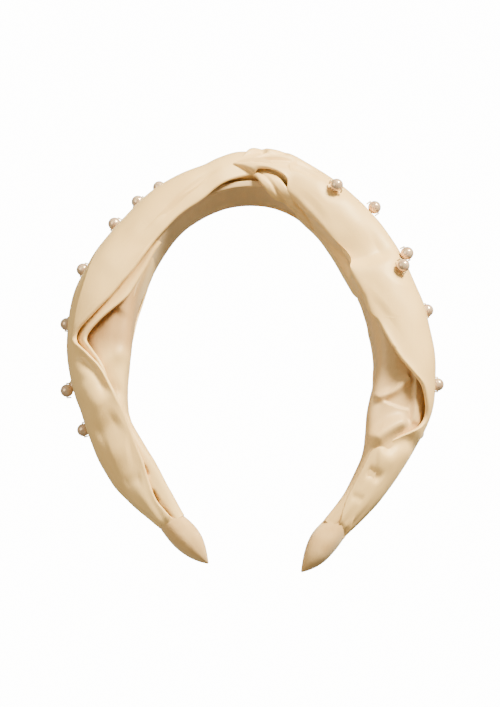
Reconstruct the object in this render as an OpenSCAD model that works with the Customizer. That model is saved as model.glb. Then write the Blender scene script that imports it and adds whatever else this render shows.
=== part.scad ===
// Satin headband with a twisted knot on top and small pearls sewn along its crest.
// X runs from ear to ear, +Z points up to the crown and -Y is the front edge.
// The origin is the centre of the crown's bend. Lengths are millimetres.

/* [Band] */
// Radius of the crown's bend, at the middle of the core's thickness
crown_r = 44; // [42:0.5:46]
// Half of the crown's bend, in degrees
crown_a = 56; // [54:1:58]
// Radius of each side's flatter bend
side_r = 108; // [104:1:112]
// Bend of each side down to the core's tip, in degrees
side_a = 78; // [77:0.5:79]

/* [Core and sleeve] */
// Thickness of the springy core
core_t = 2; // [1.6:0.1:2.2]
// Width of the core over the crown, front to back
core_w = 28; // [24:1:29]
// Width of the core just above its tips
tip_w = 11; // [9:0.5:12]
// Thickness of the satin sleeve glued round the core
sleeve_t = 0.5; // [0.3:0.1:0.6]

/* [Ribbons] */
// Fullest depth of the puffed ribbons, front to back
ribbon_d = 40; // [38:1:44]
// Height of the knot over the middle of the core
knot_h = 19.5; // [18:0.5:22]
// Lean of the seam between the two crossed ribbons, across for each step back
knot_lean = 0.3; // [0.1:0.05:0.4]
// Gap left between soft pieces and what they wrap
ease_gap = 0.3; // [0.25:0.05:0.4]

/* [Pearls] */
// Diameter of one pearl
pearl_d = 5.5; // [4.5:0.25:6]
// Diameter of the hole through a pearl
hole_d = 1; // [0.9:0.1:1.4]
// Diameter of the sewing thread
thread_d = 0.6; // [0.4:0.1:0.7]

/* [Flex] */
// Distance along the core from the top of the crown to each flex line
flex_s = 55; // [54:0.5:56]
// Widest outward flex of an arm, in degrees
flex_a = 16; // [10:1:16]

/* [Hidden] */
$fn = 96;
// Places of the pearls: distance along the core and angle round the ribbon, + to the front
crown_pearls = [[-30.5, -10], [-38.5, -5], [-49.5, 0], [31.5, 65], [43, 15], [-22, -55], [24, -50],
    [40, -50]];
left_pearls = [[68.5, -10], [88, -20], [109, -37], [112, -15], [126, -35], [79, -52], [99, -64]];
right_pearls = [[64.5, 30], [69.5, 55], [83, -15], [109.5, -20], [73, -50], [96, -60], [127, -42]];

// The core's line: s is the distance along it from the top of the crown, minus on the left
turn = 180 / PI;
crown_s = crown_r * crown_a / turn;
core_s = crown_s + side_r * side_a / turn;
hub_x = (crown_r - side_r) * sin(crown_a);
hub_z = (crown_r - side_r) * cos(crown_a);
flex_gap = 0.4;
// Outline of each ribbon: distance along the core, then a height over the core's middle
left_top = [[0, knot_h], [20, 15.5], [45, 18.5], [80, 25.4], [110, 22], [150, 13], [176, 5.4]];
right_top = [[0, knot_h], [12, 19], [32, 16.6], [60, 20], [115, 23.2], [150, 13.8], [176, 7.2]];
left_low = [[0, -2.5], [56, -2.5], [72, -3.3], [100, -5.6], [122, -2.8], [150, -7.4], [176, -7]];
right_low = [[0, -2.5], [56, -2.5], [68, -3.6], [88, -2.7], [125, -5.6], [146, -3], [176, -4]];
// Lower edge of each ribbon's front lobe, which lifts off the sleeve beside the knot
left_lip = [[0, 6.5], [14, 3.4], [32, -1.5], [60, -1.5]];
right_lip = [[0, 8], [6, 6.5], [14, 0.6], [24, -1.5], [60, -1.5]];
// Share of the fullest depth that each place along the ribbons has
fullness = [[0, 0.85], [25, 0.92], [60, 1], [100, 1], [130, 0.83], [160, 0.56], [176, 0.44]];
ribbon_end = 175;
cap_start = ribbon_end + 0.2;
cap_end = core_s + 8.5;
// Half width of the core, by height: level, then tapered, then drawn in to the tip
core_edge = [[80, core_w / 2], [10, core_w / 2], [-105.5, tip_w / 2], [-111, 3], [-130, 3]];

// --- Curves -------------------------------------------------------------------------------

function slope(k, i) = let (a = max(i - 1, 0), b = min(i + 1, len(k) - 1))
    (k[b][1] - k[a][1]) / (k[b][0] - k[a][0]);
function span(k, s, i = 0) = i >= len(k) - 2 || s < k[i + 1][0] ? i : span(k, s, i + 1);
// Smooth curve through the points [place, value] of k
function along(k, s) = let (
        i = span(k, s),
        h = k[i + 1][0] - k[i][0],
        u = min(1, max(0, (s - k[i][0]) / h)),
        v = 1 - u)
    k[i][1] * v * v * (1 + 2 * u) + k[i + 1][1] * u * u * (3 - 2 * u)
    + h * u * v * (slope(k, i) * v - slope(k, i + 1) * u);
function power(x, e) = sign(x) * pow(abs(x), e);

// Bend of the core's line at distance s, in degrees from straight up
function bend(s) = s < crown_s ? s / crown_r * turn : crown_a + (s - crown_s) / side_r * turn;
function line_x(s) = s < crown_s ? crown_r * sin(bend(s)) : hub_x + side_r * sin(bend(s));
function line_z(s) = s < crown_s ? crown_r * cos(bend(s)) : hub_z + side_r * cos(bend(s));
// The point p outward from the core's line at distance s, and q towards the back
function place(s, p, q) = let (a = abs(s), w = s < 0 ? -1 : 1)
    [w * (line_x(a) + p * sin(bend(a))), q, line_z(a) + p * cos(bend(a))];
function half_width(z) = lookup(z, core_edge);

// --- Ribbon sections ----------------------------------------------------------------------

function top_of(side, s) = along(side < 0 ? left_top : right_top, s);
function low_of(side, s) = along(side < 0 ? left_low : right_low, s);
function deep_of(s) = ribbon_d / 2 * along(fullness, s);
function mid_of(side, s) = low_of(side, s) + 0.3 * (top_of(side, s) - low_of(side, s));
// [p, q] of the ribbon's skin at angle a: 0 is the crest, 90 the front, 180 the head side
function skin_at(side, s, a) = let (
        m = mid_of(side, s),
        outer = cos(a) >= 0,
        reach = outer ? top_of(side, s) - m : m - low_of(side, s),
        e = outer ? 0.85 : 0.45)
    [m + reach * power(cos(a), e), -deep_of(s) * power(sin(a), e)];

ring_n = 20;
// A ring of points round an arm's ribbon
function outer_ring(side, s) = [for (i = [0:ring_n - 1]) skin_at(side, s, i * 360 / ring_n - 45)];
// The same number of points round the box-shaped tunnel that holds the sleeve
function box_ring(h, w) = let (n = ring_n / 4) [for (i = [0:ring_n - 1])
    let (f = 2 * (i % n) / n)
    i < n ? [h, w - w * f] : i < 2 * n ? [h - h * f, -w] : i < 3 * n ? [-h, -w + w * f] : [-h + h * f, w]];
sleeve_h = core_t / 2 + sleeve_t;
function tunnel_ring(s) = box_ring(
    sleeve_h + ease_gap,
    half_width(line_z(s) + sleeve_h) + sleeve_t + ease_gap);

// Section of a crown ribbon: a hood over the sleeve, open towards the head
lip_n = 3;
function hood_ring(side, s) = let (
        d = deep_of(s),
        lip = along(side < 0 ? left_lip : right_lip, s),
        m = mid_of(side, s),
        front = max(m, lip + 1),
        foot = core_w / 2 + sleeve_t + 1.4,
        wall = core_w / 2 + sleeve_t + ease_gap,
        roof = sleeve_h + ease_gap)
    concat(
        [for (i = [lip_n:-1:1]) let (u = i / lip_n) [front + (lip - front) * u, -d + (d - foot) * u * u]],
        [[front, -d]],
        [for (a = [75:-15:-75]) let (c = skin_at(side, s, a)) a > 0 ? [max(c[0], front + 0.1), c[1]] : c],
        [for (i = [0:lip_n]) let (u = i / lip_n) [m + (-sleeve_h - m) * u, d - (d - foot) * u * u]],
        [[-sleeve_h, wall]],
        [for (u = [1:-0.4:-1]) [roof, wall * u]],
        [[lip, -wall]]);

// --- Solids from rings --------------------------------------------------------------------

// Closed skin over rings of equal length. A looped skin joins its last ring to its first.
module rings_solid(rings, looped = false) {
    n = len(rings[0]);
    m = len(rings);
    sides = [for (j = [0:(looped ? m - 1 : m - 2)], i = [0:n - 1])
        let (k = (j + 1) % m, h = (i + 1) % n) [j * n + i, k * n + i, k * n + h, j * n + h]];
    ends = looped ? [] : [[for (i = [0:n - 1]) i], [for (i = [n - 1:-1:0]) (m - 1) * n + i]];
    polyhedron([for (r = rings, v = r) v], concat(sides, ends), convexity = 8);
}

// --- Core and sleeve ----------------------------------------------------------------------

// Slab of height h bent along the core's line between the distances from and to
module side_slab(h, w, from, to) {
    a0 = crown_a + (from - crown_s) / side_r * turn;
    a1 = crown_a + (to - crown_s) / side_r * turn;
    translate([hub_x, 0, hub_z]) rotate([90, 0, 0]) rotate([0, 0, 90 - a1])
        rotate_extrude(angle = a1 - a0) translate([side_r - h / 2, -w / 2]) square([h, w]);
}

module crown_slab(h, w, half) {
    rotate([90, 0, 0]) rotate([0, 0, 90 - half])
        rotate_extrude(angle = 2 * half) translate([crown_r - h / 2, -w / 2]) square([h, w]);
}

// Block with the core's front-to-back outline, grown by more on each edge
module edge_block(more) {
    rotate([90, 0, 90]) linear_extrude(240, center = true) polygon(concat(
        [for (e = core_edge) [e[1] + more, e[0]]],
        [for (i = [len(core_edge) - 1:-1:0]) [-core_edge[i][1] - more, core_edge[i][0]]]));
}

module arm_slab(h, w, more, from, to) {
    intersection() {
        side_slab(h, w, from, to);
        edge_block(more);
    }
}

// Crown and the top of both sides. Each side starts inside the crown, a hair's step smaller.
module crown_band(h, w, end) {
    step = 0.04;
    lap = 1;
    crown_slab(h, w, crown_a);
    for (m = [0, 1]) mirror([m, 0, 0]) side_slab(h - step, w - step, crown_s - lap, end);
}

module core_crown() color("ivory") crown_band(core_t, core_w, flex_s - flex_gap);

module sleeve_crown() color("burlywood") difference() {
    crown_band(core_t + 2 * sleeve_t, core_w + 2 * sleeve_t, flex_s - flex_gap);
    crown_band(core_t, core_w, flex_s + 2);
}

module core_arm() color("ivory") arm_slab(core_t, core_w, 0, flex_s + flex_gap, core_s);

module sleeve_arm() color("burlywood") difference() {
    arm_slab(core_t + 2 * sleeve_t, core_w + 2 * sleeve_t, sleeve_t, flex_s + flex_gap, core_s + sleeve_t);
    arm_slab(core_t, core_w, 0, flex_s - 2, core_s);
}

// --- Ribbons ------------------------------------------------------------------------------

// Distance along the core at which the point [p, q] meets the knot's leaning seam
function seam_s(side, c) =
    crown_r / turn * asin((knot_lean * c[1] + side * ease_gap / 2) / (crown_r + c[0]));

// One ribbon over the crown, from the knot's seam to the flex line
module knot_ribbon(side) {
    reach = 24;
    end = flex_s - ease_gap;
    stops = [0, 3, 7, 11, 15, 19, 24, 29, 34, 39, 44, 49, end];
    rings = [for (s = stops) [for (c = hood_ring(side, s))
        place(side * s + seam_s(side, c) * max(0, 1 - s / reach), c[0], c[1])]];
    turned = [for (r = rings) [for (i = [len(r) - 1:-1:0]) r[i]]];
    rings_solid(side < 0 ? rings : turned);
}

module left_ribbon_knot() color("bisque") knot_ribbon(-1);
module right_ribbon_knot() color("antiquewhite") knot_ribbon(1);

// Free end of the left ribbon, tucked down between the right ribbon and the sleeve's front edge
module knot_tail() {
    path = [[3, 2.6, 2.1], [7, 0.8, 2.1], [11, -1.9, 2], [15, -3.9, 1.9], [20, -5, 1.8], [26, -5.6, 1.4]];
    front = core_w / 2 + sleeve_t + 1.5 * ease_gap;
    thick = 1;
    color("tan") rings_solid([for (k = path) [for (a = [0:30:330])
        place(k[0], k[1] + k[2] * cos(a), -front - thick - thick * sin(a))]]);
}

// Tube of ribbon round one arm, notched at the flex line so that the arm can swing out
module arm_ribbon(side) {
    start = flex_s + ease_gap;
    blend = 40;
    notch = tan(flex_a + 3);
    outer = concat([for (s = [start:5:ribbon_end - 3]) s], [ribbon_end]);
    inner = concat([for (s = [start:10:ribbon_end - 6]) s], [ribbon_end]);
    function notched(s, c) =
        place(s + max(0, c[0]) * notch * max(0, 1 - (s - start) / blend), c[0], c[1]);
    rings_solid(concat(
        [for (s = outer) [for (c = outer_ring(side, s)) notched(s, c)]],
        [for (i = [len(inner) - 1:-1:0]) [for (c = tunnel_ring(inner[i])) notched(inner[i], c)]]
    ), looped = true);
}

module ribbon_left() color("bisque") mirror([1, 0, 0]) arm_ribbon(-1);
module ribbon_right() color("antiquewhite") arm_ribbon(1);

// Leaf-shaped pocket closed over one tip; shift moves its middle outward
module tip_cap(shift) {
    long = cap_end - cap_start;
    wide = 8.8;
    tall = 6;
    function leaf(s) = pow(1 - pow((s - cap_start) / long, 2), 0.6);
    function shell(s, k, mid) = [for (i = [0:ring_n - 1]) let (a = i * 360 / ring_n - 45)
        place(s, mid + tall * k * power(cos(a), 0.65), -wide * k * power(sin(a), 0.65))];
    function pocket(s) = [for (c = tunnel_ring(s)) place(s, c[0], c[1])];
    stops = [for (i = [0:7]) cap_start + long * sin(i * 12)];
    rings_solid(concat(
        [shell(core_s + 1, 0.1, 0)],
        [for (s = [core_s + 0.9, core_s - 3, core_s - 7, core_s - 11, cap_start]) pocket(s)],
        [for (s = stops) shell(s, leaf(s), shift)],
        [shell(cap_end, 0.05, shift)]));
}

module tip_cap_left() color("tan") mirror([1, 0, 0]) tip_cap(-1.7);
module tip_cap_right() color("tan") tip_cap(1.7);

// --- Pearls -------------------------------------------------------------------------------

// Puts its children on a ribbon's skin, with X along the ribbon and Z out of the skin
module on_ribbon(side, s, a) {
    c = skin_at(side, s, a);
    d = skin_at(side, s, a + 3) - skin_at(side, s, a - 3);
    lift = pearl_d / 2 + 0.05;
    out = [-d[1], d[0]] / norm(d);
    v = place(s, c[0] + out[0] * lift, c[1] + out[1] * lift);
    mirror([side < 0 ? 1 : 0, 0, 0]) translate(v) rotate([0, bend(s), 0])
        rotate([atan2(-out[1], out[0]), 0, 0]) children();
}

// Round bead turned about its hole, which lies along X
module pearl() color("linen") rotate([0, 90, 0]) rotate_extrude() difference() {
    circle(d = pearl_d);
    translate([hole_d / 2 - pearl_d, -pearl_d]) square([pearl_d, 2 * pearl_d]);
}

// Stitch through a pearl: straight through the hole, then down on each side
module stitch() color("wheat") {
    $fn = 24;
    x = pearl_d / 2 + 0.4;
    leg = pearl_d / 2 - 0.8;
    rotate([0, 90, 0]) cylinder(d = thread_d, h = 2 * x, center = true);
    for (w = [-1, 1]) translate([w * x, 0, 0]) {
        sphere(d = thread_d);
        translate([0, 0, -leg]) cylinder(d = thread_d, h = leg);
    }
}

module crown_place(k) on_ribbon(sign(k[0]), abs(k[0]), k[1]) children();
module left_place(k) on_ribbon(-1, k[0], k[1]) children();
module right_place(k) on_ribbon(1, k[0], k[1]) children();
module threads_crown() for (k = crown_pearls) crown_place(k) stitch();
module threads_left() for (k = left_pearls) left_place(k) stitch();
module threads_right() for (k = right_pearls) right_place(k) stitch();

// --- Nodes --------------------------------------------------------------------------------

core_crown();
sleeve_crown();
left_ribbon_knot();
right_ribbon_knot();
knot_tail();
mirror([1, 0, 0]) core_arm();  // core_left
mirror([1, 0, 0]) sleeve_arm();  // sleeve_left
ribbon_left();
tip_cap_left();
core_arm();  // core_right
sleeve_arm();  // sleeve_right
ribbon_right();
tip_cap_right();
threads_crown();
threads_left();
threads_right();
for (i = [1:len(crown_pearls)])
    crown_place(crown_pearls[i - 1]) pearl();
for (i = [1:len(left_pearls)])
    left_place(left_pearls[i - 1]) pearl();
for (i = [1:len(right_pearls)])
    right_place(right_pearls[i - 1]) pearl();
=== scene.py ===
"""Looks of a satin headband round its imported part: ribbons, knot, lining, tip caps and pearls."""

import math

import bpy
import numpy as np
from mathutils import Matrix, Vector


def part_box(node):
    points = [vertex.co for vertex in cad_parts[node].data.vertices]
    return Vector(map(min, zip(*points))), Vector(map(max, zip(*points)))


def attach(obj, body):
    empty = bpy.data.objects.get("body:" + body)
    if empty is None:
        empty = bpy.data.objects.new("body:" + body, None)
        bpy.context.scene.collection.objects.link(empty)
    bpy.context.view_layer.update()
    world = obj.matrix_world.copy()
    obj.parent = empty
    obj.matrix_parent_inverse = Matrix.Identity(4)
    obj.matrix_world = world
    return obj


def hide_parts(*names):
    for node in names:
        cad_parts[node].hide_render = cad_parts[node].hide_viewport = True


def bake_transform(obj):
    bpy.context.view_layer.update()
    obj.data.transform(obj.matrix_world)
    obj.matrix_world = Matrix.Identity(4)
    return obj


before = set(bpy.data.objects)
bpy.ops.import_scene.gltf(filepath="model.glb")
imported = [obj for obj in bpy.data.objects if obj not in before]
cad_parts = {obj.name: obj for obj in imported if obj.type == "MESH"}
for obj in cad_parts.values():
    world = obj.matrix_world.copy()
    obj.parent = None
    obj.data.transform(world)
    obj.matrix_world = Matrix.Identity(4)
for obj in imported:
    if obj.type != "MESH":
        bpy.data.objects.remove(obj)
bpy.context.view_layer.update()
MM = 0.001
SIDES = {-1: "left", 1: "right"}
PEARLS = [np.mean(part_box(name), 0) for name in sorted(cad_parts) if name.startswith("pearl")]


# --- Camera --------------------------------------------------------------------------------

CAMERA_AT = (-0.0004, -0.6847, -0.1725)
CAMERA_TILT = math.radians(102)  # 90 is level, so it looks up by 12 degrees
LENS, SENSOR = 83.8, 36


def make_camera():
    data = bpy.data.cameras.new("camera")
    data.sensor_width = SENSOR
    data.lens = LENS
    camera = bpy.data.objects.new("camera", data)
    camera.location = CAMERA_AT
    camera.rotation_euler = (CAMERA_TILT, 0, 0)
    bpy.context.collection.objects.link(camera)
    bpy.context.scene.camera = camera


# --- The band's line and the ribbons' outline, in millimetres ------------------------------
# s is the distance along the core from the top of the crown, p the height over the core's
# middle and q the distance towards the back. side is -1 on the left and 1 on the right.

CROWN_R, CROWN_A, SIDE_R, SIDE_A = 44, math.radians(56), 108, math.radians(78)
CROWN_S = CROWN_R * CROWN_A
CORE_S = CROWN_S + SIDE_R * SIDE_A
HUB_X = (CROWN_R - SIDE_R) * math.sin(CROWN_A)
HUB_Z = (CROWN_R - SIDE_R) * math.cos(CROWN_A)
CORE_HALF, TIP_HALF, CORE_THICK, SLEEVE = 14, 5.5, 2, 0.5
RIBBON_END, CAP_END = 175, 198.5
DEEP = 20  # half the puffed ribbon's depth at its fullest
OUTWARD = 0.85  # how round the outer half of a ribbon's section is

# Outlines along the band, as points (s, value) of a smooth curve.
# FULL is the share of DEEP, TOP the crest, LOW the front's lowest edge and BACK_LOW the back's.
# INWARD is the roundness of the head side: the smaller, the squarer.
FULL = [(0, 0.85), (25, 0.92), (60, 1), (100, 1), (130, 0.83), (160, 0.56), (176, 0.44)]
TOP = {
    -1: [(-4, 17.4), (4, 18), (10, 16.6), (17, 15), (34, 17.2), (45, 18.9), (80, 25.6), (108, 21.8),
         (122, 17.8), (150, 12.8), (165, 7.2), (176, 3.4)],
    1: [(-6, 19), (0, 19.3), (12, 19.1), (19, 17.4), (32, 16.7), (60, 20), (115, 22.9), (150, 13.8),
        (176, 7.2)],
}
LOW = {
    -1: [(0, -2.5), (56, -2.5), (72, -2.6), (100, -4.4), (122, -2), (140, -6), (150, -8), (164, -8.4),
         (176, -7.2)],
    1: [(0, -2.5), (20, -4), (30, -6), (56, -6.4), (72, -5), (86, -2.6), (102, -2.4), (125, -5.6),
        (146, -2.4), (176, -4)],
}
INWARD = {
    -1: [(0, 0.4), (90, 0.4), (115, 0.45)],
    1: [(0, 0.45), (16, 0.4), (28, 0.2), (76, 0.2), (96, 0.35), (120, 0.45)],
}
BACK_LOW = {
    -1: [(0, -1.9), (110, -2.1), (125, -2), (150, -5), (176, -5.5)],
    1: [(0, -1.9), (110, -2.1), (125, -2.6), (150, -2.4), (176, -3.5)],
}


def smooth(x, a, b):
    """0 before a, 1 after b, with an even ease between."""
    t = np.clip((x - a) / (b - a), 0, 1)
    return t * t * (3 - 2 * t)


def along(keys, s):
    """Smooth curve through the points (place, value) of keys."""
    x, y = np.array(keys, float).T
    last = len(x) - 1
    before, after = np.maximum(np.arange(last + 1) - 1, 0), np.minimum(np.arange(last + 1) + 1, last)
    slope = (y[after] - y[before]) / (x[after] - x[before])
    i = np.clip(np.searchsorted(x, s, side="right") - 1, 0, last - 1)
    h = x[i + 1] - x[i]
    u = np.clip((s - x[i]) / h, 0, 1)
    v = 1 - u
    return (
        y[i] * v * v * (1 + 2 * u)
        + y[i + 1] * u * u * (3 - 2 * u)
        + h * u * v * (slope[i] * v - slope[i + 1] * u)
    )


def power(x, e):
    return np.sign(x) * np.abs(x) ** e


def place(s, p, q):
    """Points in metres at signed distance s, height p and depth q."""
    a = np.abs(s)
    crown = a < CROWN_S
    bend = np.where(crown, a / CROWN_R, CROWN_A + (a - CROWN_S) / SIDE_R)
    x = np.where(crown, CROWN_R * np.sin(bend), HUB_X + SIDE_R * np.sin(bend))
    z = np.where(crown, CROWN_R * np.cos(bend), HUB_Z + SIDE_R * np.cos(bend))
    out = [np.sign(s) * (x + p * np.sin(bend)), q + 0 * a, z + p * np.cos(bend)]
    return np.stack(np.broadcast_arrays(*out), -1) * MM


def core_half(s):
    height = place(s, 0, 0)[..., 2] / MM
    return np.interp(height, [-120, -111, -105.5, 10], [3, 3, TIP_HALF, CORE_HALF])


def middle_height(side, s):
    """Where the ribbon's skin is deepest: the height of its front and back."""
    return 0.7 * np.maximum(along(LOW[side], s), -4) + 0.3 * along(TOP[side], s)


def depth(s):
    """Half the depth of a ribbon's section."""
    return DEEP * along(FULL, s)


def section(side, s, a, low, deep):
    """(p, q) of a ribbon's skin at angle a: 0 is the crest, 90 degrees the front, 180 the head side."""
    top = along(TOP[side], s)
    middle = middle_height(side, s)
    over = np.cos(a) >= 0
    under = along(BACK_LOW[side], s)
    under = under + (low - under) * smooth(np.sin(a), -0.8, 0.6)
    reach = np.where(over, top - middle, middle - under)
    e = np.where(over, OUTWARD, along(INWARD[side], s))
    return middle + reach * power(np.cos(a), e), -deep * power(np.sin(a), e)


def front_angle(side, s, p, low):
    """The section angle at which the front of the skin has the height p."""
    top = along(TOP[side], s)
    middle = middle_height(side, s)
    up = np.clip((p - middle) / (top - middle), 0, 1) ** (1 / OUTWARD)
    down = np.clip((middle - p) / (middle - low), 0, 1) ** (1 / along(INWARD[side], s))
    return np.where(p >= middle, np.arccos(up), np.pi - np.arccos(down))


# --- Folds ---------------------------------------------------------------------------------


def nearest(line, s, p):
    """Distance to a smooth line through the points (s, p), the side of it, and the place along it."""
    keys = np.array(line, float)
    t = np.arange(len(keys))
    fine = np.linspace(0, len(keys) - 1, 8 * (len(keys) - 1) + 1)
    path = np.stack([along(np.stack([t, keys[:, k]], -1), fine) for k in (0, 1)], -1)
    best, which, share = np.full(s.shape, 1e9), np.zeros(s.shape), np.zeros(s.shape)
    for i, (a, b) in enumerate(zip(path[:-1], path[1:])):
        d = b - a
        u = np.clip(((s - a[0]) * d[0] + (p - a[1]) * d[1]) / (d @ d), 0, 1)
        ds, dp = s - a[0] - u * d[0], p - a[1] - u * d[1]
        gap = np.hypot(ds, dp)
        closer = gap < best
        best = np.where(closer, gap, best)
        which = np.where(closer, np.sign(d[0] * dp - d[1] * ds), which)
        share = np.where(closer, (i + u) / (len(path) - 1), share)
    return best, which, share


def fading(share, fade):
    """Rises from 0 to 1 over the first share fade of a line and falls back over the last."""
    return smooth(share, 0, fade) * smooth(1 - share, 0, fade)


def ridge(line, height, width, fade=0.25):
    """A soft ridge, or with a minus height a valley, along a line."""

    def shape(s, p):
        gap, _, share = nearest(line, s, p)
        return height * np.exp(-((gap / width) ** 2)) * fading(share, fade)

    return shape


def valley(line, drop, before, after):
    """A hollow across the band that falls away slowly on the crown's side of a line and rises fast
    beyond it. The line's points (s, p) go from its highest to its lowest."""
    keys = np.array(line[::-1], float)[:, ::-1]
    lowest, highest = keys[0, 0], keys[-1, 0]

    def shape(s, p):
        gap = s - along(keys, p)
        ends = smooth(p, lowest - 6, lowest + 2) * smooth(-p, -highest - 3, -highest + 4)
        return -drop * np.exp(-((gap / np.where(gap < 0, before, after)) ** 2)) * ends

    return shape


def crease(line, height, width, fade=0.25):
    """A sharp fold along a line: the fabric on its left stands over the fabric on its right."""

    def shape(s, p):
        gap, which, share = nearest(line, s, p)
        step = np.tanh(which * gap / 0.25)
        return height * 0.5 * step * np.exp(-gap / width) * fading(share, fade)

    return shape


def wrinkles(seed, size):
    """Faint uneven waves, longer along the ribbon than across it."""
    rng = np.random.default_rng(seed)
    waves = [
        (rng.uniform(0.05, 0.22), rng.uniform(-0.35, 0.35), rng.uniform(0, 7), rng.uniform(0.4, 1))
        for _ in range(9)
    ]

    def shape(s, p, q):
        return size * sum(w * np.sin(a * s * 2 + b * p * 2 + c) for a, b, c, w in waves)

    return shape


def on_front(*shapes):
    """Folds on the front half of a ribbon only."""
    return lambda s, p, q: sum(shape(s, p) for shape in shapes) * smooth(-q, -1.5, 1.5)


def on_back(*shapes):
    return lambda s, p, q: sum(shape(s, p) for shape in shapes) * smooth(q, -1.5, 1.5)


def gathers(first, last, count, size):
    """Small pleats running along the band, growing from the place first to the place last."""

    def shape(s, p, q):
        around = np.arctan2(q, p - 1)
        return size * smooth(s, first, last) * np.sin(around * count + 0.02 * s)

    return shape


def edge_lip(edge, heights):
    """Lifts the fabric towards the front edge, so that the flap stands clear of what lies under it."""

    def shape(s, p, q):
        gap = np.abs(p - edge[:, None])
        return along(heights, s) * np.exp(-gap / 2.5) * smooth(-q, -1, 3)

    return shape


def beside_pearls(points, lift):
    """Folds fade out under each pearl, where the stitch holds the fabric down in a small dimple."""
    for centre in PEARLS:
        gap = np.linalg.norm(points - centre, axis=2) / MM
        lift = lift * smooth(gap, 3.2, 9) - 0.35 * np.exp(-((gap / 3.4) ** 4))
    return lift


# --- Meshes from grids of points -----------------------------------------------------------


def grid_piece(name, points, material, uv=None, loop=False):
    """A smooth mesh over a grid of points in metres. A loop joins its last column to its first."""
    rows, cols = points.shape[:2]
    index = np.arange(rows * cols).reshape(rows, cols)
    if loop:
        index = np.concatenate([index, index[:, :1]], 1)
    faces = np.stack([index[:-1, :-1], index[1:, :-1], index[1:, 1:], index[:-1, 1:]], -1).reshape(-1, 4)
    mesh = bpy.data.meshes.new(name)
    mesh.from_pydata(points.reshape(-1, 3).tolist(), [], faces.tolist())
    mesh.polygons.foreach_set("use_smooth", [True] * len(mesh.polygons))
    if uv is not None:
        layer = mesh.uv_layers.new(name="ribbon")
        if loop:
            uv = np.concatenate([uv, uv[:, :1] + [[[0, 2 * uv[0, -1, 1] - uv[0, -2, 1]]]]], 1)
        corners = np.stack([uv[:-1, :-1], uv[1:, :-1], uv[1:, 1:], uv[:-1, 1:]], 2)
        layer.data.foreach_set("uv", corners.reshape(-1).astype(np.float32))
    mesh.materials.append(material)
    mesh.update()
    piece = bpy.data.objects.new(name, mesh)
    bpy.context.collection.objects.link(piece)
    return piece


def arc_uv(points, middle=0):
    """Texture places in millimetres along a grid and across it, from its column number middle."""
    along_u = np.linalg.norm(np.diff(points, axis=0), axis=2).mean(1) / MM
    across = np.linalg.norm(np.diff(points, axis=1), axis=2) / MM
    u = np.concatenate([[0], np.cumsum(along_u)])[:, None] + np.zeros(points.shape[1])
    v = np.concatenate([np.zeros((len(points), 1)), np.cumsum(across, 1)], 1)
    return np.stack([u, v - v[:, [middle]]], -1)


def evenly(p, q, count):
    """The profiles p and q, one to a row, with count points at even distances along each."""
    steps = np.hypot(np.diff(p, axis=1), np.diff(q, axis=1))
    far = np.concatenate([np.zeros((len(p), 1)), np.cumsum(steps, 1)], 1)
    marks = np.linspace(0, 1, count)
    out = [[np.interp(marks * f[-1], f, row) for f, row in zip(far, rows)] for rows in (p, q)]
    return np.array(out[0]), np.array(out[1])


def rolled(p, q, radius, tuck):
    """Columns that turn a profile's last edge under on a small radius and tuck it back beneath."""
    tangent = np.stack([p[:, -1] - p[:, -3], q[:, -1] - q[:, -3]], -1)
    tangent /= np.linalg.norm(tangent, axis=1, keepdims=True) + 1e-9
    out = np.stack([-tangent[:, 1], tangent[:, 0]], -1)
    edge = np.stack([p[:, -1], q[:, -1]], -1)
    radius, tuck = (np.broadcast_to(x, len(p))[:, None] for x in (radius, tuck))
    centre = edge - out * radius
    half_turn = np.linspace(0, math.pi, 14)[1:]
    turn = [centre + radius * (math.cos(t) * out + math.sin(t) * tangent) for t in half_turn]
    flat = [turn[-1] - tangent * tuck * share for share in np.linspace(0, 1, 8)[1:]]
    both = np.stack(turn + flat, 1)
    return both[..., 0], both[..., 1]


def normals(points, s):
    """Outward unit normals of a grid's cross sections, away from a line inside them all."""
    ahead = place(s + 0.5, 0, 0) - place(s - 0.5, 0, 0)
    n = np.cross(ahead, np.gradient(points, axis=1))
    n /= np.linalg.norm(n, axis=2, keepdims=True) + 1e-12
    away = points - place(s, 4, 0)
    flip = np.sign(np.median(np.sum(n * away, 2)))
    return n * flip


# --- Ribbons -------------------------------------------------------------------------------
# Each is a grid with a row every STEP millimetres along the band. Its columns run from the back
# edge over the crest to the corner where the front turns under, and on to the front edge.

STEP = 0.6
BACK_COLS, FACE_COLS, UNDER_COLS = 70, 80, 36
CORNER = math.radians(135)
BACK_ROLL, BACK_TUCK = 0.5, 2


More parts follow.
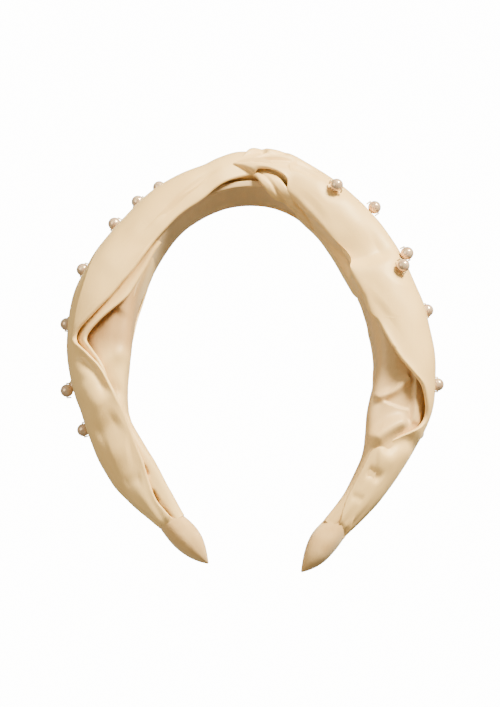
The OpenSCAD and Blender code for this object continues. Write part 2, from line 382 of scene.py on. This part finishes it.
def wrap(name, side, s, first, last, low, deep, folds, material, roll, tuck, start=None):
    """A ribbon laid over the band from section angle first, on the head side, over the crest to angle
    last on the front, with both edges turned under. start moves each row's points along the band,
    and the ribbon's first rows then turn under as well."""
    fine = np.linspace(0, 1, 700)
    corner = np.minimum(CORNER, 0.9 * last)
    spans = [(first, 0 * first, BACK_COLS), (0 * last, corner, FACE_COLS), (corner, last, UNDER_COLS)]
    parts = []
    for a0, a1, count in spans:
        angle = a0[:, None] + (a1 - a0)[:, None] * fine
        parts.append(evenly(*section(side, s[:, None], angle, low[:, None], deep[:, None]), count))
    back, face, under = parts
    p, q = (np.concatenate([back[k][:, :-1], face[k][:, :-1], under[k]], 1) for k in (0, 1))
    front_p, front_q = rolled(p, q, roll, tuck)
    back_p, back_q = (x[:, ::-1] for x in rolled(p[:, ::-1], -q[:, ::-1], BACK_ROLL, BACK_TUCK))
    n_back, n_front = back_p.shape[1], front_p.shape[1]
    p, q = np.concatenate([back_p, p, front_p], 1), np.concatenate([-back_q, q, front_q], 1)
    at = s[:, None] + np.zeros(p.shape)
    sink = 1
    if start is not None:
        at = at + start(at, p, q)
        sink = tuck_in(s)[:, None]
    points = place(side * at, p * sink, q * sink)
    n = normals(points, side * at)
    lift = beside_pearls(points, sum(fold(at, p, q) for fold in folds))
    for cols, edge in ((slice(0, n_back), n_back), (slice(-n_front, None), -n_front - 1)):
        lift[:, cols] = lift[:, [edge]]
        n[:, cols] = n[:, [edge]]
    moved = points + n * lift[..., None] * MM
    return grid_piece(name, moved, material, arc_uv(moved, n_back + BACK_COLS - 1))


# Heights (s, p) of the front edges: the left ribbon, the pleat under it, the right ribbon beside the
# knot, and the arch that the right ribbon makes lower down.
LEFT_EDGE = [
    (-4, 4.6), (0, 4.2), (5.5, 3.1), (11, 1.8), (16, 0.2), (20, -1.2), (25, -2), (30, -1.9), (36, -1.4), (43, -0.8),
    (54, 0.7), (64, 2.4), (69, 3.9), (74, 6), (79, 8.2), (84, 11.3), (89, 14.9), (93, 18), (96, 19.4), (98, 18.9),
    (100, 16.8), (102.5, 13.8), (106.5, 9.3), (110.5, 6.3), (117.5, 3), (121.5, 1.7), (125, 0.3), (133, -1.1),
    (147, -2.2), (152, -1.9), (161.5, -0.6), (166, -0.3), (171, -1), (176, -1.8),
]
SECOND_EDGE = [
    (50, -2), (56, -1.6), (62, -1.6), (68.5, -0.8), (75.5, 0.8), (79, 2.5), (82, 4.6), (85.5, 7.6), (89.5, 11),
    (93, 13.8), (95.5, 15.4), (97.5, 15.2), (100, 13), (104.5, 9.2), (108, 7.4), (112, 6),
]
RIGHT_EDGE = [
    (0, 4.8), (2, 6), (5, 6.8), (8, 6.8), (11.5, 5.9), (14, 4), (15, 2.2), (16.5, -0.5), (18, -2.6), (22, -4.6),
]
ARCH_EDGE = [
    (80, -4), (84, -1.6), (88.5, 0.4), (94, 2.2), (99, 4.4), (104, 7.3), (107.5, 10.4), (110.5, 13.4), (113, 16.3),
    (115.5, 18), (120, 19.6), (123.5, 20.2), (126.5, 19.5), (130, 16.7), (132.5, 13.4), (135.5, 9.1), (138.5, 5.5),
    (140.5, 2.9), (143.5, 0.9), (147, 0.2), (161.5, -0.4), (169, 0.8), (174, 2.6), (178, 2.8),
]


def left_wrap(material):
    side = -1
    s = np.arange(-3, RIBBON_END + 3.1, STEP)
    edge = along(LEFT_EDGE, s)
    low = np.minimum(along(LOW[side], s), edge - 3)
    last = front_angle(side, s, edge, low)
    first = np.radians(-along([(-3, 112), (48, 112), (66, 140), (90, 168), (178, 172)], s))
    shrink = 1 - 0.14 * smooth(-s, -14, 3) - 0.2 * smooth(s, RIBBON_END - 2, RIBBON_END + 2)
    folds = [
        on_front(
            crease([(62, 21.5), (76, 20.2), (88, 20.4), (100, 19)], -1.8, 6),
            ridge([(46, 1.5), (30, 3), (20, 5.2), (10, 8.4)], -0.9, 1.5),
            ridge([(50, 18), (54, 8), (58, 0)], -0.8, 7),
            ridge([(72, 15), (60, 9), (46, 6)], 0.5, 5),
            ridge([(100, 19.5), (104.5, 15), (109, 10), (114, 7), (121, 4.5)], -2.0, 2.4),
            ridge([(112, 17), (119, 12), (124, 6)], 0.9, 3.4),
            ridge([(133, 14), (131, 8), (128.5, 1)], -1.2, 4),
            ridge([(142, 10), (142, 5), (143, 0)], 0.7, 5),
            ridge([(154, 9), (154, 4), (155, 0)], -0.5, 2.5),
            crease([(158, 9.5), (166, 5.5), (172, 3), (178, 2)], -1.4, 3),
        ),
        on_back(
            ridge([(10, 2), (30, 10), (52, 14)], 1.1, 4),
            ridge([(30, 0), (62, 6), (90, 16)], -1.2, 4),
            ridge([(60, -1), (90, 5), (118, 13)], 1.2, 4),
            crease([(84, 0), (104, 4), (128, 10)], 1.4, 5),
            ridge([(128, 0), (140, 4), (158, 7)], -0.9, 3),
        ),
        gathers(150, RIBBON_END, 15, 0.2),
        wrinkles(11, 0.05),
        edge_lip(edge, [(0, 0.5), (50, 0.9), (85, 1.1), (120, 0.8), (176, 0.3)]),
    ]
    roll = along([(-4, 0.8), (60, 1.1), (84, 1.3), (96, 1.1), (120, 1.0), (176, 0.6)], s)
    tuck = along([(-4, 5), (100, 5), (118, 1.5), (178, 1.5)], s)
    deep = depth(s) * shrink
    return wrap("left_wrap", side, s, first, last, low, deep, folds, material, roll, tuck)


def second_fold(material):
    """The pleat that shows below the left ribbon's front edge."""
    side = -1
    s = np.arange(50, 112, STEP)
    edge = along(SECOND_EDGE, s)
    above = np.minimum(along(LEFT_EDGE, s) + 5, along(TOP[side], s) - 1.5)
    low = np.minimum(along(LOW[side], s), edge - 3)
    last = front_angle(side, s, edge, low)
    first = front_angle(side, s, np.maximum(above, edge + 4), low)
    t = np.linspace(0, 1, 400)
    angle = first[:, None] + (last - first)[:, None] * t
    p, q = evenly(*section(side, s[:, None], angle, low[:, None], depth(s)[:, None]), 60)
    share = (p - edge[:, None]) / np.maximum(along(LEFT_EDGE, s) - edge, 1)[:, None]
    q = q + 1.6 + 2.4 * smooth(share, -0.1, 1.2)
    more_p, more_q = rolled(p, q, 0.9, 5)
    p, q = np.concatenate([p, more_p], 1), np.concatenate([q, more_q], 1)
    points = place(side * s[:, None], p, q)
    return grid_piece("left_second_fold", points, material, arc_uv(points))


INNER_LOW = 2.2  # just above the sleeve, where an inner layer lies on it


def inner_wrap(name, side, s, fullness, drop, folds, material):
    """The ribbon's inner layer: a soft tube round the lining that shows in the hollows. fullness is
    its share of the ribbon's depth, and drop is how far its crest lies under the ribbon's."""
    low = INNER_LOW + (along(LOW[side], s) - INNER_LOW) * smooth(s, 44, 60)
    back = np.maximum(along(BACK_LOW[side], s), low)[:, None]
    deep = depth(s) * along(fullness, s)
    fine = np.linspace(-np.pi, np.pi, 1400)
    top = along(TOP[side], s)
    middle = low + 0.3 * (top - low)
    over = np.cos(fine) >= 0
    under = back + (low[:, None] - back) * smooth(np.sin(fine), -0.8, 0.6)
    reach = np.where(over, (top - along(drop, s) - middle)[:, None], middle[:, None] - under)
    p = middle[:, None] + reach * power(np.cos(fine), np.where(over, 1.25, 0.5))
    q = -deep[:, None] * power(np.sin(fine), np.where(over, 0.8, 0.5))
    p, q = evenly(p, q, 221)
    p, q = p[:, :-1], q[:, :-1]
    at = s[:, None] + np.zeros(p.shape)
    points = place(side * at, p, q)
    lift = sum(fold(at, p, q) for fold in folds)
    moved = points + normals(points, side * at) * lift[..., None] * MM
    return grid_piece(name, moved, material, arc_uv(moved), loop=True)


def left_inner(material):
    s = np.arange(-19, RIBBON_END + 2.1, STEP)
    fullness = [
        (-19, 0.84), (10, 0.84), (40, 0.78), (100, 0.74), (118, 0.74), (132, 0.8), (150, 0.93), (175, 0.9),
    ]
    drop = [(-19, 4), (10, 4), (50, 3), (178, 2)]
    folds = [
        on_front(
            ridge([(110, 14), (107, 8), (103, 3), (99, -4)], 1.5, 3.5),
            ridge([(104, 22), (94, 15), (86, 9), (80, 6)], -2.5, 6, fade=0.2),
            ridge([(117, 8), (117, 3), (116, -2)], -0.7, 3),
            ridge([(124, 1.5), (127, 0.4), (131, -0.6)], -2.2, 1.6),
            ridge([(149, -1.5), (152, -1.9), (155, -1.8)], -1.6, 1.2),
            ridge([(160, -0.8), (163, -0.5), (167, -0.4)], -1.6, 1.2),
        ),
        wrinkles(5, 0.06),
        gathers(160, RIBBON_END, 13, 0.25),
    ]
    return inner_wrap("left_inner_wrap", -1, s, fullness, drop, folds, material)


def right_inner(material):
    s = np.arange(72, RIBBON_END + 2.1, STEP)
    fullness = [(72, 0.77), (100, 0.74), (118, 0.74), (130, 0.84), (142, 0.93), (175, 0.93)]
    drop = [(72, 3), (178, 2)]
    folds = [
        on_front(
            crease([(128, 13.6), (118, 13.4), (108, 12.6)], -2.4, 4, fade=0.1),
            ridge([(110.5, 12), (113, 8.5), (117, 4.5), (121, -3)], 2.2, 1.6, fade=0.1),
            crease([(122.5, 13), (122.5, 7), (121, 0)], 1.8, 4, fade=0.15),
            ridge([(126, 13), (130, 7), (135, 2.5), (141, -1)], 3.6, 2.8),
        ),
        wrinkles(8, 0.06),
        gathers(160, RIBBON_END, 13, 0.25),
    ]
    return inner_wrap("right_inner_wrap", 1, s, fullness, drop, folds, material)


CLOSED = 14, 86  # the stretch of the right ribbon whose front edge lies beneath the band


def right_wrap(material):
    side = 1
    s = np.arange(0, RIBBON_END + 3.1, STEP)
    edge = np.where(s < 50, along(RIGHT_EDGE, s), along(ARCH_EDGE, s))
    first_end, last_end = CLOSED
    open_share = 1 - smooth(s, first_end, 20) * smooth(-s, -last_end, -78)
    low = eased(np.minimum(along(LOW[side], s), edge - 3 * open_share), 8)
    free = front_angle(side, s, edge, low)
    reach = [(first_end, -20), (17, -16), (26, 14), (64, 14), (80, -16), (last_end, -20)]
    share = along(reach, s) / depth(s)
    beneath = np.sign(share) * np.arcsin(np.clip(np.abs(share), 0, 1) ** (1 / along(INWARD[side], s)))
    under = np.maximum(np.minimum(free, math.radians(150)), math.pi + beneath)
    last = eased(np.where((s > first_end) & (s < last_end), under, free), 4)
    first = np.radians(-along([(0, 150), (30, 152), (40, 120), (78, 120), (90, 165), (178, 172)], s))
    shrink = 1 - 0.2 * smooth(s, RIBBON_END - 2, RIBBON_END + 2)
    folds = [
        on_front(
            valley([(59.5, 15), (60, 8), (59.5, 2), (57, -8)], 3.7, 10.5, 4),
            ridge([(30, 14), (31, 5), (30, -3)], 0.7, 9),
            ridge([(72, 16), (80, 8), (84, 1)], 0.8, 9),
            ridge([(5, 18), (0, 14.5), (-5.5, 9.4)], -3.4, 1.3, fade=0.1),
            ridge([(12, 17.5), (5, 14.5), (-3.5, 9.2)], -2.6, 1.1, fade=0.12),
            ridge([(24, 14.5), (12, 13), (-1, 9)], -2.0, 1.1, fade=0.15),
            ridge([(26, 10), (14, 10.4), (2, 8.6)], -1.2, 1.3, fade=0.2),
            ridge([(133, 20), (134.5, 14), (137.5, 9), (142, 4)], -2.4, 3),
            ridge([(152, 9), (151, 5), (151, 1)], -1.3, 2.2),
            ridge([(144, 12), (144, 7), (145, 3)], 0.6, 4),
            ridge([(162, 6), (162, 3), (163, 0)], -0.5, 1.6),
        ),
        on_back(
            ridge([(8, 6), (30, 9), (54, 10)], 1.0, 4),
            ridge([(20, 2), (50, 2), (80, 9)], -1.1, 4),
            crease([(56, 0), (80, 4), (112, 14)], 1.5, 5),
            ridge([(100, 0), (118, 6), (136, 11)], 1.1, 4),
            ridge([(128, 0), (144, 3), (162, 7)], -0.9, 3),
        ),
        gathers(150, RIBBON_END, 14, 0.2),
        wrinkles(23, 0.05),
        edge_lip(edge, [(0, 0.6), (7, 1.4), (14, 0.6), (18, 0), (84, 0), (96, 0.9), (118, 0.8), (126, 0.2),
                        (140, -0.4), (176, 0.2)]),
    ]
    roll = along([(0, 0.9), (15, 0.8), (90, 1.0), (120, 1.0), (176, 0.6)], s)
    tuck = along([(0, 4), (10, 4), (14, 0.3), (24, 0.3), (28, 4), (70, 4), (74, 0.3), (86, 0.3), (90, 5),
                  (178, 5)], s)
    deep = depth(s) * shrink
    return wrap("right_wrap", side, s, first, last, low, deep, folds, material, roll, tuck, knot_start)


def tuck_in(s):
    """Share of its size that each row of the right ribbon has, where its first edge turns under."""
    turn = np.clip(1 - s / 2.6, 0, 1)
    return 1 - 0.17 * (1 - np.sqrt(1 - turn * turn))


def knot_start(s, p, q):
    """Moves the right ribbon's first rows to the uneven seam where it laps over the left one."""
    front = along([(-3, 2), (3.5, 2), (5, 0), (7, -3.6), (8.8, -7.2), (10, -6.8), (13, -4.4), (16, -2.4),
                   (19, -1.6)], p)
    back = -1.6 + 3 * smooth(q, 0, 18)
    seam = np.where(q < 0, front, back)
    return seam * (1 - smooth(s, 0, 22))


def eased(values, reach):
    """A row of values with its corners rounded off."""
    window = np.hanning(2 * reach + 1)
    padded = np.concatenate([np.full(reach, values[0]), values, np.full(reach, values[-1])])
    return np.convolve(padded, window / window.sum(), "valid")


# --- Lining, tail and tip caps -------------------------------------------------------------


def lining(name, side, material):
    """Satin sleeve drawn tight round the core, from the top of the crown to one tip."""
    s = np.arange(0, CORE_S + 0.3, 1.0)
    half = core_half(s) + SLEEVE
    thick = CORE_THICK / 2 + SLEEVE
    t = np.linspace(0, 2 * np.pi, 97)[:-1]
    flat = half[:, None] - thick
    q = -flat * np.clip(1.6 * np.sin(t), -1, 1) - thick * power(np.sin(t), 0.8)
    p = thick * power(np.cos(t), 0.45) + 0 * q
    points = place(side * s[:, None], p, q)
    return grid_piece(name, points, material, arc_uv(points), loop=True)


def tail(material):
    """The left ribbon's free end: comes out under the knot and tucks back beneath the band."""
    path = np.array([(2.5, 4.6, -12.5), (5, 3.2, -15.6), (8.5, 0.6, -16.6), (12.5, -2.2, -15.6),
                     (17, -3.6, -13), (22, -3.9, -8), (27, -3.9, -2), (31, -3.6, 4)])
    t = np.arange(len(path))
    fine = np.linspace(0, len(path) - 1, 90)
    s, p, q = (along(np.stack([t, path[:, k]], -1), fine) for k in range(3))
    centre = place(s, p, q)
    core = place(s, 0 * s, np.clip(q, -12, 12))
    ahead = np.gradient(centre, axis=0)
    ahead /= np.linalg.norm(ahead, axis=1, keepdims=True)
    out = centre - core
    out -= np.sum(out * ahead, 1, keepdims=True) * ahead
    out /= np.linalg.norm(out, axis=1, keepdims=True)
    across = np.cross(ahead, out)
    a = np.linspace(0, 2 * np.pi, 65)[:-1]
    share = np.linspace(0, 1, len(fine))[:, None]
    width = 3.9 * (1 - 0.25 * smooth(share, 0.6, 1)) * (0.75 + 0.25 * smooth(share, 0, 0.25))
    x = width * np.cos(a)
    lobes = 1 - 0.42 * np.exp(-((x - 0.5) / 0.8) ** 2) * (np.sin(a) > 0)
    y = 1.5 * power(np.sin(a), 0.8) * lobes
    points = centre[:, None] + (across[:, None] * x[..., None] + out[:, None] * y[..., None]) * MM
    return grid_piece("knot_tail_fold", points, material, arc_uv(points), loop=True)


# Half the height of a tip cap, and the height of its middle.
CAP_HALF = [(172, 4.7), (177, 5.6), (183, 6.0), (188, 5.4), (192, 4.1), (195.5, 2.3), (CAP_END, 0.35)]
CAP_MIDDLE = {
    -1: [(172, -0.9), (178, -1.6), (184, -2.0), (190, -2.0), (CAP_END, -1.2)],
    1: [(172, 1.6), (178, 1.5), (184, 1.5), (190, 2.2), (CAP_END, 3.5)],
}


def tip_cap(name, side, material):
    """Folded felt pocket over one tip, pointed like a leaf, with a crease along its front."""
    hem = [RIBBON_END + 1.2, RIBBON_END - 0.2]
    point = CAP_END - np.array([0.7, 0.4, 0.15, 0.0])
    s = np.concatenate([hem, np.arange(RIBBON_END - 0.6, CAP_END - 1, 0.5), point])
    half, mid = along(CAP_HALF, s), along(CAP_MIDDLE[side], s)
    half[:2] *= 0.8, 0.97
    wide = 8.8 * (half / 6) ** 0.75
    a = np.linspace(0, 2 * np.pi, 129)[:-1]
    over = np.cos(a) > 0
    p = mid[:, None] + half[:, None] * power(np.cos(a), np.where(over, 0.95, 0.6))
    q = -wide[:, None] * power(np.sin(a), np.where(over, 1.0, 0.6))
    points = place(side * s[:, None], p, q)
    return grid_piece(name, points, material, arc_uv(points), loop=True)


# --- Materials -----------------------------------------------------------------------------


class Nodes:
    """Short helper round one material's node tree."""

    def __init__(self, name):
        self.material = bpy.data.materials.new(name)
        self.material.use_nodes = True
        self.tree = self.material.node_tree
        self.tree.nodes.clear()
        self.shader = self.add("ShaderNodeBsdfPrincipled")
        output = self.add("ShaderNodeOutputMaterial")
        self.link(self.shader.outputs["BSDF"], output.inputs["Surface"])

    def add(self, kind, **values):
        node = self.tree.nodes.new(kind)
        for key, value in values.items():
            setattr(node, key, value)
        return node

    def link(self, a, b):
        self.tree.links.new(a, b)

    def set(self, **values):
        for key, value in values.items():
            self.shader.inputs[key.replace("_", " ")].default_value = value

    def noise(self, source, scale, detail=3.0, rough=0.5):
        node = self.add("ShaderNodeTexNoise")
        node.inputs["Scale"].default_value = scale
        node.inputs["Detail"].default_value = detail
        node.inputs["Roughness"].default_value = rough
        self.link(source, node.inputs["Vector"])
        return node.outputs["Fac"]

    def ramp(self, source, stops):
        node = self.add("ShaderNodeValToRGB")
        for i, (at, colour) in enumerate(stops):
            element = node.color_ramp.elements[i] if i < 2 else node.color_ramp.elements.new(at)
            element.position = at
            element.color = (*colour, 1)
        self.link(source, node.inputs["Fac"])
        return node.outputs["Color"]

    def coloured(self, source, stops):
        self.link(self.ramp(source, stops), self.shader.inputs["Base Color"])

    def roughened(self, source, low, high):
        self.link(self.mapped(source, low, high), self.shader.inputs["Roughness"])

    def scaled(self, source, factors):
        node = self.add("ShaderNodeVectorMath", operation="MULTIPLY")
        node.inputs[1].default_value = factors
        self.link(source, node.inputs[0])
        return node.outputs["Vector"]

    def mapped(self, source, low, high):
        node = self.add("ShaderNodeMapRange")
        node.inputs["To Min"].default_value = low
        node.inputs["To Max"].default_value = high
        self.link(source, node.inputs["Value"])
        return node.outputs["Result"]

    def maths(self, operation, a, b):
        node = self.add("ShaderNodeMath", operation=operation)
        for i, value in enumerate((a, b)):
            if isinstance(value, (int, float)):
                node.inputs[i].default_value = value
            else:
                self.link(value, node.inputs[i])
        return node.outputs["Value"]

    def mixed(self, share, first, second):
        node = self.add("ShaderNodeMix", data_type="RGBA")
        self.link(share, node.inputs["Factor"])
        self.link(first, node.inputs["A"])
        self.link(second, node.inputs["B"])
        return node.outputs["Result"]

    def stretch(self, uv, ends):
        """1 between two distances along a piece and 0 beyond them, with soft changes."""
        split = self.add("ShaderNodeSeparateXYZ")
        self.link(uv, split.inputs["Vector"])
        sides = []
        for place_at, soft in ends:
            node = self.add("ShaderNodeMapRange", interpolation_type="SMOOTHSTEP")
            node.inputs["From Min"].default_value = place_at - soft
            node.inputs["From Max"].default_value = place_at + soft
            self.link(split.outputs["X"], node.inputs["Value"])
            sides.append(node.outputs["Result"])
        return self.maths("SUBTRACT", sides[0], sides[1])

    def bump(self, height, distance, strength=1.0):
        node = self.add("ShaderNodeBump")
        node.inputs["Distance"].default_value = distance
        node.inputs["Strength"].default_value = strength
        self.link(height, node.inputs["Height"])
        self.link(node.outputs["Normal"], self.shader.inputs["Normal"])


def linear(red, green, blue):
    """A colour given as it looks on a screen, 11 to 255 for each of red, green and blue."""
    return tuple(((c / 255 + 0.055) / 1.055) ** 2.4 for c in (red, green, blue))


def satin(name, light, dark, painted_shade=None):
    """Woven satin: long floats one way, fine cross threads, soft slubs and uneven dye. The last
    argument is the stretch, in millimetres along the piece, painted darker as shade where the layer
    lies in a hollow: where it starts and ends, each with half the width of the change, and its two colours."""
    m = Nodes(name)
    coords = m.add("ShaderNodeTexCoord")
    uv, local = coords.outputs["UV"], coords.outputs["Object"]
    patch = m.noise(local, 34, 4.0)
    slub = m.noise(m.scaled(uv, (0.12, 3.2, 1)), 1.0, 3.0)
    blend = m.maths("ADD", m.maths("MULTIPLY", patch, 0.7), m.maths("MULTIPLY", slub, 0.3))
    colour = m.ramp(blend, [(0.34, dark), (0.62, light)])
    # Painted shade: a darker colour mixed in along one stretch of the piece, over the hollow.
    if painted_shade:
        ends, first, second = painted_shade
        colour = m.mixed(m.stretch(uv, ends), colour, m.ramp(blend, [(0.34, first), (0.62, second)]))
    m.link(colour, m.shader.inputs["Base Color"])
    floats = m.noise(m.scaled(uv, (0.5, 9.0, 1)), 1.0, 2.0)
    cross = m.noise(m.scaled(uv, (8.0, 0.6, 1)), 1.0, 2.0)
    weave = m.maths("ADD", m.maths("MULTIPLY", floats, 0.7), m.maths("MULTIPLY", cross, 0.3))
    crumple = m.noise(local, 260, 3.0, 0.6)
    m.bump(m.maths("ADD", weave, m.maths("MULTIPLY", crumple, 1.2)), 0.00007, 0.5)
    m.roughened(floats, 0.35, 0.5)
    m.set(Specular_IOR_Level=0.42, Sheen_Weight=0.25, Sheen_Roughness=0.35, Anisotropic=0.35)
    m.set(Sheen_Tint=(*linear(255, 240, 220), 1))
    return m.material


def felt(name):
    m = Nodes(name)
    local = m.add("ShaderNodeTexCoord").outputs["Object"]
    nap = m.noise(local, 1500, 4.0, 0.7)
    patch = m.noise(local, 120, 3.0)
    m.coloured(patch, [(0.35, linear(204, 166, 118)), (0.65, linear(220, 184, 138))])
    m.bump(m.maths("ADD", nap, m.maths("MULTIPLY", patch, 2.0)), 0.00012, 0.6)
    m.set(Roughness=0.9, Specular_IOR_Level=0.15, Sheen_Weight=0.45, Sheen_Roughness=0.5)
    return m.material


def pearl(name):
    """Imitation pearl: a milky body under a thin bright coat, warm in places."""
    m = Nodes(name)
    local = m.add("ShaderNodeTexCoord").outputs["Object"]
    cloud = m.noise(local, 420, 2.0)
    m.coloured(cloud, [(0.35, linear(198, 176, 162)), (0.65, linear(226, 212, 204))])
    skin = m.noise(local, 1600, 3.0)
    m.roughened(skin, 0.16, 0.28)
    m.bump(skin, 0.00002, 0.3)
    m.set(Metallic=0.4, Specular_IOR_Level=0.6, Coat_Weight=0.8, Coat_Roughness=0.06)
    m.set(Coat_Tint=(*linear(255, 240, 232), 1), Subsurface_Weight=0.1, Subsurface_Scale=0.002)
    return m.material


def thread(name):
    m = Nodes(name)
    local = m.add("ShaderNodeTexCoord").outputs["Object"]
    twist = m.noise(local, 3000, 2.0)
    m.coloured(twist, [(0.3, linear(216, 196, 166)), (0.7, linear(240, 226, 200))])
    m.bump(twist, 0.00005, 0.6)
    m.set(Roughness=0.6, Sheen_Weight=0.3)
    return m.material


def plastic(name):
    m = Nodes(name)
    local = m.add("ShaderNodeTexCoord").outputs["Object"]
    grain = m.noise(local, 900, 3.0)
    m.coloured(grain, [(0.3, linear(226, 220, 206)), (0.7, linear(236, 231, 218))])
    m.roughened(grain, 0.42, 0.56)
    m.bump(grain, 0.00003, 0.3)
    return m.material


def paper(name, glow):
    """Plain white studio paper, lit evenly from its own glow."""
    m = Nodes(name)
    local = m.add("ShaderNodeTexCoord").outputs["Object"]
    m.coloured(m.noise(local, 8, 2.0), [(0, (0.9, 0.9, 0.9)), (1, (0.94, 0.94, 0.94))])
    m.set(Roughness=0.9, Emission_Color=(1, 1, 1, 1), Emission_Strength=glow)
    return m.material


# --- Stage and light -----------------------------------------------------------------------

FLOOR_Z, WALL_Y = -0.42, 3.2
WARM = (1.0, 0.885, 0.55)
SKY_LOW, SKY_HIGH = 0.42, 0.55
BACKDROP = 6


def stage_sheet(name, wide, start, end, material):
    """A flat sheet of the set from one line (y, z) to another, which the camera sees but which throws
    no light back on the object."""
    corners = [[(-wide, *line), (wide, *line)] for line in (start, end)]
    sheet = grid_piece(name, np.array(corners, float), material)
    sheet.visible_diffuse = False
    sheet.visible_glossy = False


def make_stage():
    """A pale floor well below the object, and a bright white wall far behind it."""
    stage_sheet("floor", 4, (-4, FLOOR_Z), (WALL_Y, FLOOR_Z), paper("pale_floor", 2))
    stage_sheet("wall", 0.9, (WALL_Y, FLOOR_Z), (WALL_Y, 2.1), paper("bright_wall", 14))


def area_light(name, at, size, watts):
    """A round lamp in metres, aimed at the object's middle."""
    data = bpy.data.lights.new(name, "AREA")
    data.shape = "DISK"
    data.size = size
    data.energy = watts
    data.color = WARM
    lamp = bpy.data.objects.new(name, data)
    lamp.location = at
    look = Vector((0, 0, -0.03)) - Vector(at)
    lamp.rotation_euler = look.to_track_quat("-Z", "Y").to_euler()
    bpy.context.collection.objects.link(lamp)


def make_sky():
    """Soft warm light, a little stronger from above. The camera sees plain white instead."""
    world = bpy.data.worlds.new("studio")
    world.use_nodes = True
    nodes, link = world.node_tree.nodes, world.node_tree.links.new
    sky = nodes["Background"]
    sky.inputs["Color"].default_value = (*WARM, 1)
    up = nodes.new("ShaderNodeSeparateXYZ")
    link(nodes.new("ShaderNodeTexCoord").outputs["Generated"], up.inputs["Vector"])
    glow = nodes.new("ShaderNodeMapRange")
    glow.inputs["From Min"].default_value = -1
    glow.inputs["To Min"].default_value = SKY_LOW
    glow.inputs["To Max"].default_value = SKY_HIGH
    link(up.outputs["Z"], glow.inputs["Value"])
    link(glow.outputs["Result"], sky.inputs["Strength"])
    plain = nodes.new("ShaderNodeBackground")
    plain.inputs["Strength"].default_value = BACKDROP
    mix = nodes.new("ShaderNodeMixShader")
    link(nodes.new("ShaderNodeLightPath").outputs["Is Camera Ray"], mix.inputs["Fac"])
    link(sky.outputs["Background"], mix.inputs[1])
    link(plain.outputs["Background"], mix.inputs[2])
    link(mix.outputs["Shader"], nodes["World Output"].inputs["Surface"])
    bpy.context.scene.world = world


def make_lights():
    area_light("key", (0.75, -0.85, 0.95), 0.45, 112)
    area_light("fill", (-0.9, -0.9, 0.1), 1.0, 9)
    make_sky()


# --- Putting it together -------------------------------------------------------------------


def finish_nodes(prefix, material):
    """Gives every carried-over node whose name starts with prefix one material."""
    for name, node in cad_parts.items():
        if name.startswith(prefix):
            node.data.materials.clear()
            node.data.materials.append(material)


make_camera()
make_stage()
make_lights()

# Stretches of each inner layer painted darker, in millimetres along it, with their two colours: painted shade in
# the hollow under the ribbon's front edge.
left_painted_shade = [(98, 12), (134, 7)], linear(182, 144, 104), linear(194, 156, 116)
right_painted_shade = [(5, 5), (66, 14)], linear(212, 176, 132), linear(222, 188, 144)
ribbon = satin("ribbon_satin", linear(240, 205, 150), linear(230, 192, 136))
left_layer = satin("left_inner_satin_painted_shade", linear(240, 205, 150), linear(230, 192, 136), left_painted_shade)
right_layer = satin("right_inner_satin_painted_shade", linear(238, 202, 148), linear(228, 188, 132), right_painted_shade)
# The lining's satin is a darker copy of the ribbon's: painted shade on the band's head side.
lining_satin_painted_shade = satin("lining_satin_painted_shade", linear(216, 184, 146), linear(206, 174, 136))
cap_felt = felt("tip_felt")
finish_nodes("pearl", pearl("pearl_coat"))
finish_nodes("threads", thread("sewing_thread"))
finish_nodes("core", plastic("core_plastic"))

# The layers of each side, from the outside in.
layers = {
    -1: (left_wrap(ribbon), left_inner(left_layer), lining("left_lining", -1, lining_satin_painted_shade)),
    1: (right_wrap(ribbon), right_inner(right_layer), lining("right_lining", 1, lining_satin_painted_shade)),
}
fold = second_fold(ribbon)
knot_end = tail(ribbon)
caps = {side: tip_cap(f"{word}_tip_cap", side, cap_felt) for side, word in SIDES.items()}

for side, word in SIDES.items():
    outer, inner, sleeve = layers[side]
    arm = f"{word}_arm"
    for piece in (outer, inner, sleeve):
        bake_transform(piece)
    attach(caps[side], arm)
    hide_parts(f"{word}_ribbon_knot", f"ribbon_{word}")
    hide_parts(f"sleeve_{word}")
    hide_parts(f"tip_cap_{word}")

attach(fold, "left_arm")
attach(knot_end, "crown")
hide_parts("sleeve_crown")
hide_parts("knot_tail")
